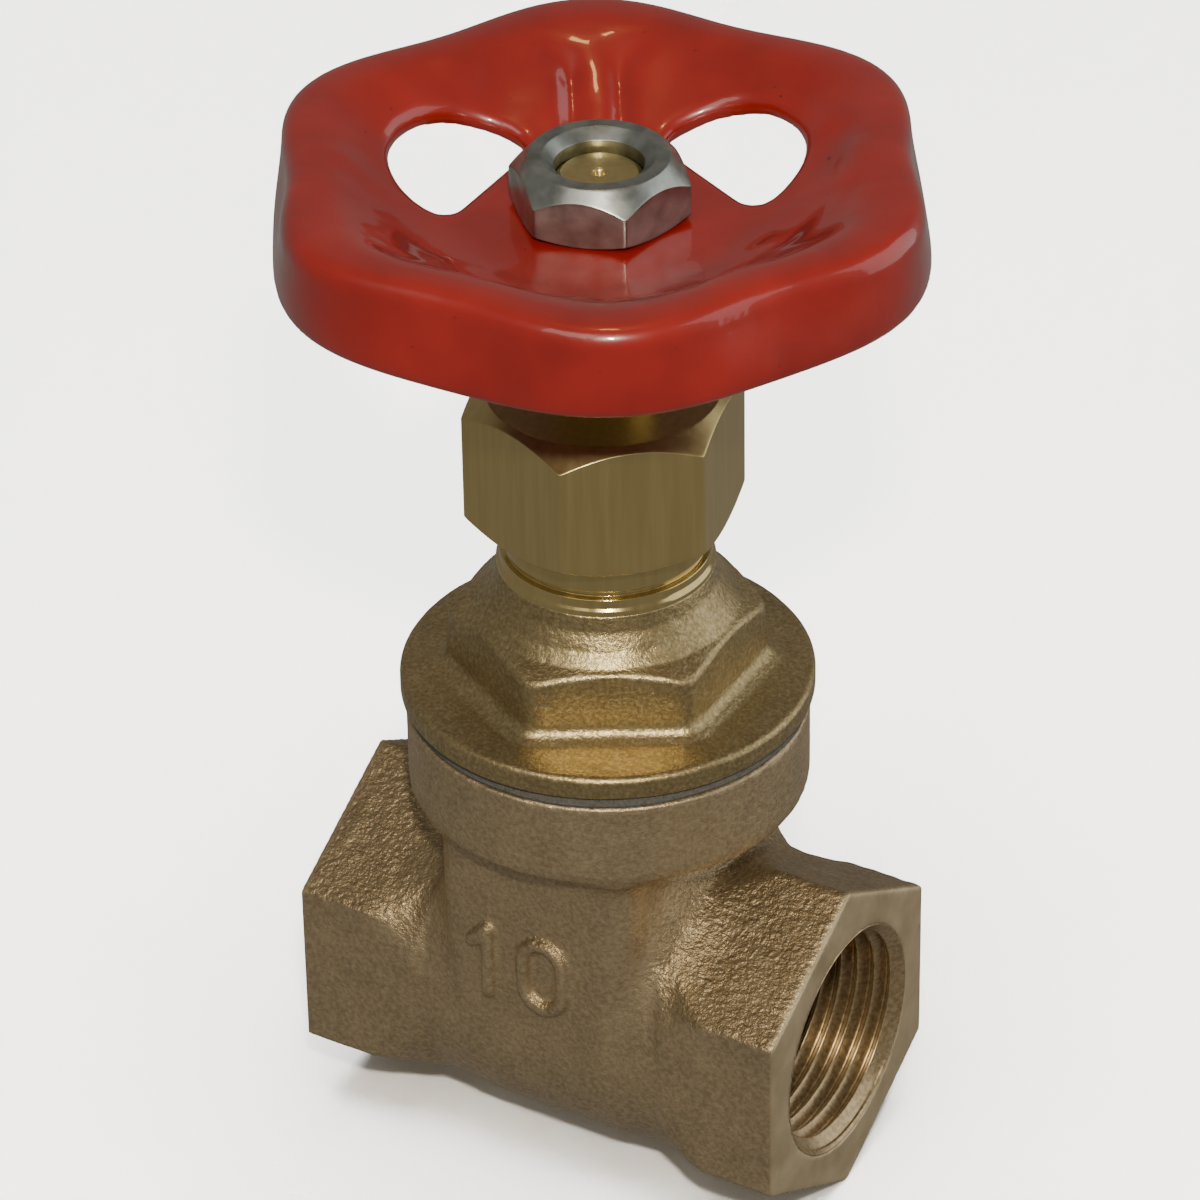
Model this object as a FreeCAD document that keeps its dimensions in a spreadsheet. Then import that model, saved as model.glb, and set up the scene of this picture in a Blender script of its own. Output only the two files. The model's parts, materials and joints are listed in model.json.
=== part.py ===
"""Gate valve with G 3/8 female ends, a screwed bonnet and a stem that turns but does not rise.

Frame: +X along the pipe, +Z up the stem. The origin is on the pipe axis, where the inlet's thread
starts, just behind its mouth chamfer. Every piece is drawn about the stem's axis, with the pipe's
axis at height 0, and is then shifted along X by CENTRE_X. The gate is drawn open.
Threads are plain cylinders with a named clearance.
"""
import FreeCAD, Part
import math
import os
import Sketcher

# alias, millimetres or degrees, meaning
SIZES = [
    ("half_length", 19.05, "from the stem's axis to each end face"),
    ("end_flats", 22.0, "across the flats of the hexagon ends"),
    ("end_hexagon", 6.35, "length of each hexagon end"),
    ("end_step", 1.3, "length of the slope from each hexagon down to the tube"),
    ("tube_radius", 10.8, "outside of the tube between the hexagons"),
    ("thread_radius", 7.475, "minor radius of the G 3/8 female thread"),
    ("thread_depth", 10.0, "from each end face to the bottom of its thread"),
    ("mouth_chamfer", 0.95, "45 degree chamfer at each mouth"),
    ("drill_cone", 0.5, "length of the drill's cone for each millimetre of its radius"),
    ("seat_radius", 5.0, "waterway through the two seats"),
    ("seat_place", 5.2, "from the stem's axis to each seat, on the pipe's axis"),
    ("seat_slope", 5.0, "angle between each seat and the stem"),
    ("seat_gap", 0.06, "clearance along X between the closed gate and each seat"),
    ("chamber_x", 8.0, "half of the gate chamber's outside along X"),
    ("chamber_y", 11.2, "half of the gate chamber's outside along Y"),
    ("chamber_corner", 2.5, "radius of the chamber's upright corners"),
    ("cavity_y", 8.5, "half of the gate chamber's inside along Y"),
    ("flange_radius", 14.0, "round flange at the top of the body"),
    ("flange_bottom", 16.6, "height of the flange's underside"),
    ("flange_top", 23.1, "height of the flange's sealing face"),
    ("gasket_thick", 1.0, "bonnet gasket"),
    ("spigot_radius", 10.0, "bonnet's screwed spigot"),
    ("spigot_length", 4.8, "how far the spigot goes down from the gasket's underside"),
    ("spigot_room", 0.4, "depth of the body's bore below the spigot"),
    ("spigot_wall", 1.3, "wall of the spigot"),
    ("screw_gap", 0.05, "radial clearance of a screwed joint drawn plain"),
    ("turn_gap", 0.05, "radial clearance round the turning stem"),
    ("face_gap", 0.05, "clearance along Z at each face of the stem's collar"),
    ("slide_gap", 0.15, "clearance of the gate's side ribs in the chamber"),
    ("rim_radius", 14.35, "bonnet's round rim"),
    ("rim_thick", 1.65, "height of the rim's upright wall"),
    ("shoulder_rise", 0.45, "rise of the bonnet's shoulder to the foot of its hexagon"),
    ("bonnet_flats", 19.5, "across the flats of the bonnet's hexagon"),
    ("bonnet_turn", 31.1, "direction of a corner of the bonnet's hexagon, from +X"),
    ("bonnet_hexagon", 4.85, "height of the bonnet's hexagon"),
    ("hexagon_bevel", 0.8, "height of the slope at the hexagon's top corners"),
    ("flare_radius", 7.9, "bonnet's flare halfway up to its neck"),
    ("flare_middle", 1.95, "from the hexagon's top up to the middle of the flare"),
    ("flare_rise", 3.65, "from the hexagon's top up to the turned neck"),
    ("neck_radius", 7.0, "outside of the bonnet's screwed neck"),
    ("box_radius", 5.5, "bore of the stuffing box"),
    ("box_web", 2.8, "wall between the stem's collar and the stuffing box"),
    ("stem_radius", 3.5, "stem in the packing"),
    ("screw_radius", 3.0, "stem's screw in the gate"),
    ("tip_room", 0.3, "clearance of the stem's lower end in the open gate"),
    ("tip_bevel", 0.45, "chamfer at the stem's lower end"),
    ("screw_relief", 0.5, "from the end of the stem's screw up to the retaining ring"),
    ("ring_seat", 0.7, "from the top of the gasket up to the retaining ring"),
    ("ring_room", 0.8, "clearance of the open gate under the retaining ring"),
    ("ring_thick", 2.2, "retaining ring"),
    ("ring_radius", 6.25, "outside of the retaining ring"),
    ("ring_slot", 1.2, "width of the retaining ring's spanner slot"),
    ("collar_radius", 5.4, "stem's collar"),
    ("collar_thick", 2.1, "stem's collar"),
    ("washer_thick", 1.0, "washer under the packing"),
    ("packing_thick", 2.4, "each packing ring"),
    ("follower_guide", 3.8, "length of the follower inside the stuffing box"),
    ("gland_flats", 17.0, "across the flats of the gland nut"),
    ("gland_turn", 42.9, "direction of a corner of the gland nut, from +X"),
    ("gland_room", 1.8, "how far the gland nut can still be tightened"),
    ("gland_height", 10.1, "gland nut"),
    ("gland_roof", 2.3, "top wall of the gland nut"),
    ("gland_bevel", 1.2, "height of the gland nut's chamfers"),
    ("gland_face", 8.0, "radius of the gland nut's flat end faces"),
    ("gland_stem_gap", 0.15, "radial clearance of the follower and the gland nut round the stem"),
    ("wheel_room", 13.4, "from the gland nut up to the seat of the handwheel's nut"),
    ("sheet", 1.2, "thickness of the pressed handwheel"),
    ("dish_depth", 4.2, "from the nut's seat up to the handwheel's crest"),
    ("rim_height", 6.5, "from the handwheel's crest down to the rim's lower edge"),
    ("wheel_flats", 43.0, "across the flat sides of the handwheel's rim"),
    ("wheel_lobe", 12.4, "radius of each of the rim's six lobes"),
    ("wheel_turn", 2.4, "direction of a lobe, from +X"),
    ("wheel_edge", 2.0, "rounding of the rim's upper edge"),
    ("hub_radius", 9.3, "flat middle of the handwheel"),
    ("crest_inner", 19.0, "radius where the dish meets the crest"),
    ("crest_thick", 1.7, "from the crest down to the hollow under it"),
    ("window_inner", 8.4, "from the stem's axis to the windows' straight inner edge"),
    ("window_centre", 9.7, "from the stem's axis to the centre of the windows' round"),
    ("window_radius", 5.5, "radius of the windows' round"),
    ("drive_square", 6.0, "square of the stem in the handwheel"),
    ("top_screw_radius", 2.95, "stem's screw in the handwheel nut"),
    ("top_screw", 2.9, "length of the stem's screw in the handwheel nut"),
    ("centre_hole", 1.2, "radius and half depth of the stem's centre hole"),
    ("nut_flats", 10.8, "across the flats of the handwheel nut"),
    ("nut_turn", 16.2, "direction of a corner of the handwheel nut, from +X"),
    ("nut_height", 4.2, "handwheel nut"),
    ("nut_face", 5.16, "radius of the nut's flat end faces"),
    ("nut_bevel", 0.6, "height of the nut's chamfers"),
    ("nut_sink", 0.65, "countersink of the nut's screw"),
    ("gate_radius", 6.6, "gate's sealing discs"),
    ("gate_neck_radius", 4.8, "gate's screwed neck"),
    ("gate_neck_top", 12.5, "height of the neck's end when closed"),
    ("gate_rib_thick", 3.0, "gate's side ribs"),
    ("gate_rib_top", 6.0, "height of the ribs' upper end when closed"),
    ("gate_floor", -4.5, "height of the bottom of the gate's bore when closed"),
]

# lengths that several pieces share, worked out from the sheet
CENTRE_X = "Sizes.half_length - Sizes.mouth_chamfer"
GASKET_TOP = "(Sizes.flange_top + Sizes.gasket_thick)"
SPIGOT_BOTTOM = "(Sizes.flange_top - Sizes.spigot_length)"
SPIGOT_BORE = "(Sizes.spigot_radius - Sizes.spigot_wall)"
CAVITY_TOP = "(Sizes.flange_top - Sizes.spigot_length - Sizes.spigot_room)"
RIM_TOP = "(" + GASKET_TOP + " + Sizes.rim_thick)"
HEXAGON_FOOT = "(" + RIM_TOP + " + Sizes.shoulder_rise)"
HEXAGON_TOP = "(" + HEXAGON_FOOT + " + Sizes.bonnet_hexagon)"
FLARE_HEIGHT = "(" + HEXAGON_TOP + " + Sizes.flare_middle)"
FLARE_TOP = "(" + HEXAGON_TOP + " + Sizes.flare_rise)"
RING_BOTTOM = "(" + GASKET_TOP + " + Sizes.ring_seat)"
RING_TOP = "(" + RING_BOTTOM + " + Sizes.ring_thick)"
COLLAR_BOTTOM = "(" + RING_TOP + " + Sizes.face_gap)"
COLLAR_TOP = "(" + COLLAR_BOTTOM + " + Sizes.collar_thick)"
COLLAR_ROOF = "(" + COLLAR_TOP + " + Sizes.face_gap)"
BOX_FLOOR = "(" + COLLAR_ROOF + " + Sizes.box_web)"
STEM_BORE = "(Sizes.stem_radius + Sizes.turn_gap)"
PACKING_RINGS = ("lower", "middle", "upper")
PACKING_FLOOR = "(" + BOX_FLOOR + " + Sizes.washer_thick)"
PACKING_TOP = "(" + PACKING_FLOOR + " + %d * Sizes.packing_thick)" % len(PACKING_RINGS)
NECK_TOP = "(" + PACKING_TOP + " + Sizes.follower_guide)"
GLAND_CEILING = "(" + NECK_TOP + " + Sizes.gland_room)"
GLAND_TOP = "(" + GLAND_CEILING + " + Sizes.gland_roof)"
GLAND_BOTTOM = "(" + GLAND_TOP + " - Sizes.gland_height)"
GLAND_BORE = "(Sizes.neck_radius + Sizes.screw_gap)"
HUB_TOP = "(" + GLAND_TOP + " + Sizes.wheel_room)"
HUB_BOTTOM = "(" + HUB_TOP + " - Sizes.sheet)"
WHEEL_TOP = "(" + HUB_TOP + " + Sizes.dish_depth)"
WHEEL_BOTTOM = "(" + WHEEL_TOP + " - Sizes.rim_height)"
NUT_TOP = "(" + HUB_TOP + " + Sizes.nut_height)"
NUT_BORE = "(Sizes.top_screw_radius + Sizes.screw_gap)"
STEM_END = "(" + HUB_TOP + " + Sizes.top_screw)"
TRAVEL = "(" + RING_BOTTOM + " - Sizes.ring_room - Sizes.gate_neck_top)"
STEM_TIP = "(Sizes.gate_floor + " + TRAVEL + " + Sizes.tip_room)"
SCREW_TOP = "(" + RING_BOTTOM + " - Sizes.screw_relief)"
END_RADIUS = "(Sizes.end_flats / sqrt(3))"
STEP_START = "(Sizes.half_length - Sizes.end_hexagon)"
STEP_END = "(" + STEP_START + " - Sizes.end_step)"
THREAD_END = "(Sizes.half_length - Sizes.thread_depth)"
DRILL_END = "(" + THREAD_END + " - (Sizes.thread_radius - Sizes.seat_radius) * Sizes.drill_cone)"
WINDOWS = (60, 180)  # directions of the handwheel's two windows, from a lobe
BEYOND = "1"  # how far a cutting shape stands out of what it cuts
CORNER_ROOM = "0.1"  # how far a turned blank stands out of the hexagon that it is cut to
NEAR = 0.01  # how near two heights are that count as the same

doc = FreeCAD.newDocument("gate_valve")
pieces = {}


def make_sheet():
    """The driving sizes, one row each: name, value and meaning."""
    sheet = doc.addObject("Spreadsheet::Sheet", "Sizes")
    for row, (alias, value, meaning) in enumerate(SIZES, start=1):
        sheet.set("A%d" % row, alias)
        sheet.set("B%d" % row, str(value))
        sheet.setAlias("B%d" % row, alias)
        sheet.set("C%d" % row, meaning)
    doc.recompute()


def bind(thing, **sizes):
    """Tie properties to expressions. A double underscore in a name stands for a dot."""
    for name, expression in sizes.items():
        thing.setExpression(name.replace("__", "."), expression)
    return thing


def lift(thing, height):
    """Put a shape's base at a height."""
    return bind(thing, Placement__Base__z=height)


def finish(thing, label, rise="0"):
    """Name a finished piece and put it in the valve's frame."""
    thing.Label = label
    bind(thing, Placement__Base__x=CENTRE_X, Placement__Base__z=rise)
    pieces[label] = thing
    return thing


# -- PartDesign helpers --

def new_body(name):
    return doc.addObject("PartDesign::Body", name)


def origin_plane(body, role):
    return next(o for o in body.Origin.OriginFeatures if o.Role == role)


def draw(body, role, loops, offset="0"):
    """A sketch on an origin plane. Every corner of every closed loop is held at its two distances
    from the origin, so the corners' first places don't matter."""
    sketch = body.newObject("Sketcher::SketchObject", body.Name + "_sketch")
    sketch.AttachmentSupport = [(origin_plane(body, role), "")]
    sketch.MapMode = "FlatFace"
    bind(sketch, AttachmentOffset__Base__z=offset)
    for loop in loops:
        first, count = sketch.GeometryCount, len(loop)
        turns = [2 * math.pi * corner / count for corner in range(count)]
        starts = [FreeCAD.Vector(2 + math.cos(a), 2 + math.sin(a), 0) for a in turns]
        for corner in range(count):
            sketch.addGeometry(Part.LineSegment(starts[corner], starts[(corner + 1) % count]))
        for corner in range(count):
            following = first + (corner + 1) % count
            sketch.addConstraint(Sketcher.Constraint("Coincident", first + corner, 2, following, 1))
        for corner, place in enumerate(loop):
            for kind, distance in zip(("DistanceX", "DistanceY"), place):
                held = Sketcher.Constraint(kind, -1, 1, first + corner, 1, 1.0)
                sketch.setExpression("Constraints[%d]" % sketch.addConstraint(held), distance)
    return sketch


def feature(body, kind, sketch, axis=None, length=None):
    """A pad, pocket, revolution or groove of a sketch, and the body ends on it."""
    made = body.newObject("PartDesign::" + kind, body.Name + "_" + kind.lower())
    made.Profile = sketch
    if axis:
        made.ReferenceAxis = (sketch, [axis])
        made.Angle = 360
    if length:
        bind(made, Length=length)
    sketch.Visibility = False
    body.Tip = made
    return made


def turned(name, profile):
    """A body turned about the stem's axis from a profile of (radius, height) corners."""
    body = new_body(name)
    feature(body, "Revolution", draw(body, "XZ_Plane", [profile]), axis="V_Axis")
    return body


def round_edges(body, choose, radius):
    """Fillet the edges that a test picks from the body's present shape."""
    doc.recompute()
    base = body.Tip
    names = ["Edge%d" % n for n, edge in enumerate(base.Shape.Edges, start=1) if choose(edge)]
    made = body.newObject("PartDesign::Fillet", body.Name + "_fillet")
    made.Base = (base, names)
    bind(made, Radius=radius)
    body.Tip = made
    return made


def upright(edge):
    along = edge.Vertexes[-1].Point - edge.Vertexes[0].Point
    return abs(along.z) > along.Length - NEAR > 0


def hexagon_corners(flats, upright_corner):
    """Six corners of a hexagon of a width across flats, with a corner on the sketch's Y or X axis."""
    reach, half, side = flats + " / sqrt(3)", flats + " / 2", flats + " / sqrt(3) / 2"
    ring = [("0", reach), (half, side), (half, "-" + side)]
    ring += [("0", "-" + reach), ("-" + half, "-" + side), ("-" + half, side)]
    return ring if upright_corner else [(b, a) for a, b in ring]


# -- Part helpers --

def primitive(kind, name, **sizes):
    return bind(doc.addObject("Part::" + kind, name), **sizes)


def joined(kind, name, *shapes):
    """MultiFuse or MultiCommon of shapes."""
    made = doc.addObject("Part::" + kind, name)
    made.Shapes = list(shapes)
    return made


def cut(name, base, tool):
    made = doc.addObject("Part::Cut", name)
    made.Base, made.Tool = base, tool
    return made


def hexagon_bar(name, flats, turn, bottom, height):
    """Upright hexagon bar with a corner at an angle from +X."""
    bar = primitive("Prism", name, Circumradius=flats + " / sqrt(3)", Height=height)
    bar.Polygon = 6
    bind(bar, Placement__Rotation__Angle=turn)
    return lift(bar, bottom)


def seat_wedge(name, bottom, top, gap, reach):
    """Upright wedge that narrows downwards at the seats' slope, centred on the stem's axis."""
    def half(height):
        return "(Sizes.seat_place - %s + (%s) * tan(Sizes.seat_slope))" % (gap, height)
    wedge = primitive("Wedge", name, Ymin=bottom, Ymax=top, Xmin="-" + half(bottom),
                      Xmax=half(bottom), X2min="-" + half(top), X2max=half(top),
                      Zmin="-" + reach, Zmax=reach, Z2min="-" + reach, Z2max=reach)
    wedge.Placement.Rotation = FreeCAD.Rotation(FreeCAD.Vector(1, 0, 0), 90)
    return wedge


def pipe_rod(name, radius, half):
    """Cylinder along the pipe's axis, centred on the stem's axis."""
    rod = primitive("Cylinder", name, Radius=radius, Height="2 * " + half)
    rod.Placement.Rotation = FreeCAD.Rotation(FreeCAD.Vector(0, 1, 0), 90)
    return bind(rod, Placement__Base__x="-" + half)


def centred_box(name, half_x, half_y, bottom, height):
    block = primitive("Box", name, Length="2 * " + half_x, Width="2 * " + half_y, Height=height)
    bind(block, Placement__Base__x="-" + half_x, Placement__Base__y="-" + half_y)
    return lift(block, bottom)


# -- the pieces, from the pipe up --

def make_body():
    """Casting: chamber, hexagon ends, tube and flange, then the waterway and the gate's cavity."""
    body = new_body("casting")
    x, y = "Sizes.chamber_x", "Sizes.chamber_y"
    corners = [(x, y), ("-" + x, y), ("-" + x, "-" + y), (x, "-" + y)]
    feature(body, "Pad", draw(body, "XY_Plane", [corners]), length="Sizes.flange_bottom + " + BEYOND)
    round_edges(body, upright, "Sizes.chamber_corner")
    hexagon = hexagon_corners("Sizes.end_flats", True)
    for start in (STEP_END, "-Sizes.half_length"):
        end = draw(body, "YZ_Plane", [hexagon], start)
        feature(body, "Pad", end, length="Sizes.end_hexagon + Sizes.end_step")
    step = "(" + END_RADIUS + " + " + BEYOND + ")"
    slope = [(STEP_START, END_RADIUS), (STEP_END, "Sizes.tube_radius"), (STEP_END, step), (STEP_START, step)]
    mirrored = [("-" + along, across) for along, across in slope]
    for side in (slope, mirrored):
        feature(body, "Groove", draw(body, "XZ_Plane", [side]), axis="H_Axis")
    run = pipe_rod("tube", "Sizes.tube_radius", STEP_END)
    belly = pipe_rod("belly", "Sizes.chamber_y", "Sizes.chamber_x")
    flange = lift(primitive("Cylinder", "flange", Radius="Sizes.flange_radius",
                            Height="Sizes.flange_top - Sizes.flange_bottom"), "Sizes.flange_bottom")
    outside = joined("MultiFuse", "body_outside", body, run, belly, flange)

    port = [(DRILL_END, "Sizes.seat_radius"),
            (THREAD_END, "Sizes.thread_radius"), ("(" + CENTRE_X + ")", "Sizes.thread_radius"),
            ("Sizes.half_length", "Sizes.thread_radius + Sizes.mouth_chamfer"), ("Sizes.half_length", "0")]
    inlet = [("-" + along, across) for along, across in reversed(port)]
    waterway = new_body("waterway")
    feature(waterway, "Revolution", draw(waterway, "XZ_Plane", [port + inlet]), axis="H_Axis")

    low = "(-Sizes.cavity_y - " + BEYOND + ")"
    slot = joined("MultiFuse", "cavity_slot", pipe_rod("cavity_round", "Sizes.cavity_y", "Sizes.chamber_x"),
                  centred_box("cavity_block", "Sizes.chamber_x", "Sizes.cavity_y", "0", CAVITY_TOP))
    wedge = seat_wedge("cavity_wedge", low, CAVITY_TOP, "0", "Sizes.chamber_y")
    cavity = joined("MultiCommon", "cavity", slot, wedge)
    spigot = lift(primitive("Cylinder", "spigot_bore", Radius="Sizes.spigot_radius + Sizes.screw_gap",
                            Height="Sizes.flange_top + " + BEYOND + " - " + CAVITY_TOP), CAVITY_TOP)
    inside = joined("MultiFuse", "body_inside", waterway, cavity, spigot)
    return finish(cut("body", outside, inside), "body")


def make_ring(name, inner, outer, bottom, top):
    """Plain turned ring of square section."""
    profile = [(inner, bottom), (outer, bottom), (outer, top), (inner, top)]
    return turned(name, profile)


def make_bonnet():
    """Hot stamping, turned all over inside: spigot, rim, hexagon, flare and screwed neck."""
    half_flats = "(Sizes.bonnet_flats / 2)"
    profile = [
        (SPIGOT_BORE, SPIGOT_BOTTOM), ("Sizes.spigot_radius", SPIGOT_BOTTOM),
        ("Sizes.spigot_radius", GASKET_TOP), ("Sizes.rim_radius", GASKET_TOP),
        ("Sizes.rim_radius", RIM_TOP), (half_flats, HEXAGON_FOOT), (half_flats, HEXAGON_TOP),
        ("Sizes.flare_radius", FLARE_HEIGHT),
        ("Sizes.neck_radius", FLARE_TOP), ("Sizes.neck_radius", NECK_TOP),
        ("Sizes.box_radius", NECK_TOP), ("Sizes.box_radius", BOX_FLOOR),
        (STEM_BORE, BOX_FLOOR), (STEM_BORE, COLLAR_ROOF),
        ("Sizes.collar_radius + Sizes.turn_gap", COLLAR_ROOF),
        ("Sizes.collar_radius + Sizes.turn_gap", RING_TOP),
        ("Sizes.ring_radius + Sizes.screw_gap", RING_TOP),
        ("Sizes.ring_radius + Sizes.screw_gap", RING_BOTTOM),
        (SPIGOT_BORE, RING_BOTTOM),
    ]
    turning = turned("bonnet_turning", profile)
    bar = hexagon_bar("bonnet_bar", "Sizes.bonnet_flats", "Sizes.bonnet_turn", RIM_TOP,
                      HEXAGON_TOP + " - " + RIM_TOP)
    corner = "(Sizes.bonnet_flats / sqrt(3) + " + CORNER_ROOM + ")"
    within = half_flats + " - " + BEYOND
    cap = [(within, RIM_TOP), (corner, RIM_TOP), (corner, HEXAGON_TOP + " - Sizes.hexagon_bevel"),
           (half_flats, HEXAGON_TOP), (within, HEXAGON_TOP)]
    hexagon = joined("MultiCommon", "bonnet_hexagon", bar, turned("bonnet_cap", cap))
    return finish(joined("MultiFuse", "bonnet", turning, hexagon), "bonnet")


def make_retaining_ring():
    """Ring that holds the stem's collar up in the bonnet, with a slot across it for a spanner."""
    ring = make_ring("ring_turning", STEM_BORE, "Sizes.ring_radius", RING_BOTTOM, RING_TOP)
    slot = centred_box("ring_slot_box", "Sizes.rim_radius", "(Sizes.ring_slot / 2)",
                       RING_BOTTOM + " - " + BEYOND, "Sizes.ring_thick / 2 + " + BEYOND)
    return finish(cut("retaining_ring", ring, slot), "stem_retaining_ring")


def make_stem():
    """Brass rod: screw in the gate, collar, journal, square for the handwheel and top screw."""
    profile = [
        ("0", STEM_TIP), ("Sizes.screw_radius - Sizes.tip_bevel", STEM_TIP),
        ("Sizes.screw_radius", STEM_TIP + " + Sizes.tip_bevel"),
        ("Sizes.screw_radius", SCREW_TOP), ("Sizes.stem_radius", SCREW_TOP),
        ("Sizes.stem_radius", COLLAR_BOTTOM), ("Sizes.collar_radius", COLLAR_BOTTOM),
        ("Sizes.collar_radius", COLLAR_TOP), ("Sizes.stem_radius", COLLAR_TOP),
        ("Sizes.stem_radius", HUB_TOP), ("Sizes.top_screw_radius", HUB_TOP),
        ("Sizes.top_screw_radius", STEM_END), ("Sizes.centre_hole", STEM_END),
        ("0", STEM_END + " - 2 * Sizes.centre_hole"),
    ]
    body = turned("stem", profile)
    outer, inner = "Sizes.stem_radius + " + BEYOND, "Sizes.drive_square / 2"
    squares = [[(h, h), ("-(" + h + ")", h), ("-(" + h + ")", "-(" + h + ")"), (h, "-(" + h + ")")]
               for h in (outer, inner)]
    flats = feature(body, "Pocket", draw(body, "XY_Plane", squares, HUB_BOTTOM), length="Sizes.sheet")
    flats.Reversed = True
    return finish(body, "stem")


def make_gate():
    """Solid wedge with a screwed neck, two side ribs and a blind bore for the stem."""
    disc = joined("MultiCommon", "gate_disc",
                  pipe_rod("gate_round", "Sizes.gate_radius", "Sizes.chamber_x"),
                  seat_wedge("gate_wedge", "-Sizes.gate_radius", "Sizes.gate_radius", "Sizes.seat_gap",
                             "Sizes.chamber_y"))
    neck = primitive("Cylinder", "gate_neck", Radius="Sizes.gate_neck_radius", Height="Sizes.gate_neck_top")
    ribs = centred_box("gate_ribs", "(Sizes.gate_rib_thick / 2)", "(Sizes.cavity_y - Sizes.slide_gap)", "0",
                       "Sizes.gate_rib_top")
    solid = joined("MultiFuse", "gate_solid", disc, neck, ribs)
    bore = lift(primitive("Cylinder", "gate_bore", Radius="Sizes.screw_radius + Sizes.turn_gap",
                          Height="Sizes.gate_neck_top - Sizes.gate_floor + " + BEYOND), "Sizes.gate_floor")
    return finish(cut("gate", solid, bore), "wedge_gate", TRAVEL)


def make_packing():
    """Washer, packing rings and the follower, stacked in the stuffing box."""
    outer = "Sizes.box_radius - Sizes.screw_gap"
    finish(make_ring("packing_washer", STEM_BORE, outer, BOX_FLOOR, PACKING_FLOOR), "packing_washer")
    for count, place in enumerate(PACKING_RINGS):
        bottom = "%s + %d * Sizes.packing_thick" % (PACKING_FLOOR, count)
        top = "%s + %d * Sizes.packing_thick" % (PACKING_FLOOR, count + 1)
        label = "packing_ring_" + place
        finish(make_ring(label, STEM_BORE, outer, bottom, top), label)
    inner = "Sizes.stem_radius + Sizes.gland_stem_gap"
    finish(make_ring("gland_follower", inner, outer, PACKING_TOP, GLAND_CEILING), "gland_follower")


def make_nut(label, flats, turn, bottom, top, face, bevel, inside):
    """Hexagon nut: a bar with both ends turned to a chamfer, and the given inner profile."""
    corner = "(%s / sqrt(3) + %s)" % (flats, CORNER_ROOM)
    outside = [(face, bottom), (corner, bottom + " + " + bevel), (corner, top + " - " + bevel), (face, top)]
    blank = turned(label + "_turning", outside + inside)
    bar = hexagon_bar(label + "_bar", flats, turn, bottom, top + " - " + bottom)
    return finish(joined("MultiCommon", label + "_solid", bar, blank), label)


def make_gland_nut():
    stem_hole = "Sizes.stem_radius + Sizes.gland_stem_gap"
    inside = [(stem_hole, GLAND_TOP), (stem_hole, GLAND_CEILING), (GLAND_BORE, GLAND_CEILING),
              (GLAND_BORE, GLAND_BOTTOM)]
    return make_nut("gland_nut", "Sizes.gland_flats", "Sizes.gland_turn", GLAND_BOTTOM, GLAND_TOP,
                    "Sizes.gland_face", "Sizes.gland_bevel", inside)


def make_handwheel_nut():
    sink = NUT_BORE + " + Sizes.nut_sink"
    inside = [(sink, NUT_TOP), (NUT_BORE, NUT_TOP + " - Sizes.nut_sink"),
              (NUT_BORE, HUB_TOP + " + Sizes.nut_sink"), (sink, HUB_TOP)]
    return make_nut("handwheel_nut", "Sizes.nut_flats", "Sizes.nut_turn", HUB_TOP, NUT_TOP,
                    "Sizes.nut_face", "Sizes.nut_bevel", inside)


def lobed_block(name, flats, lobe, bottom, height):
    """Hexagon block whose upright edges are rounded into lobes."""
    block = new_body(name)
    sketch = draw(block, "XY_Plane", [hexagon_corners(flats, False)], bottom)
    feature(block, "Pad", sketch, length=height)
    round_edges(block, upright, lobe)
    return block


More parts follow.
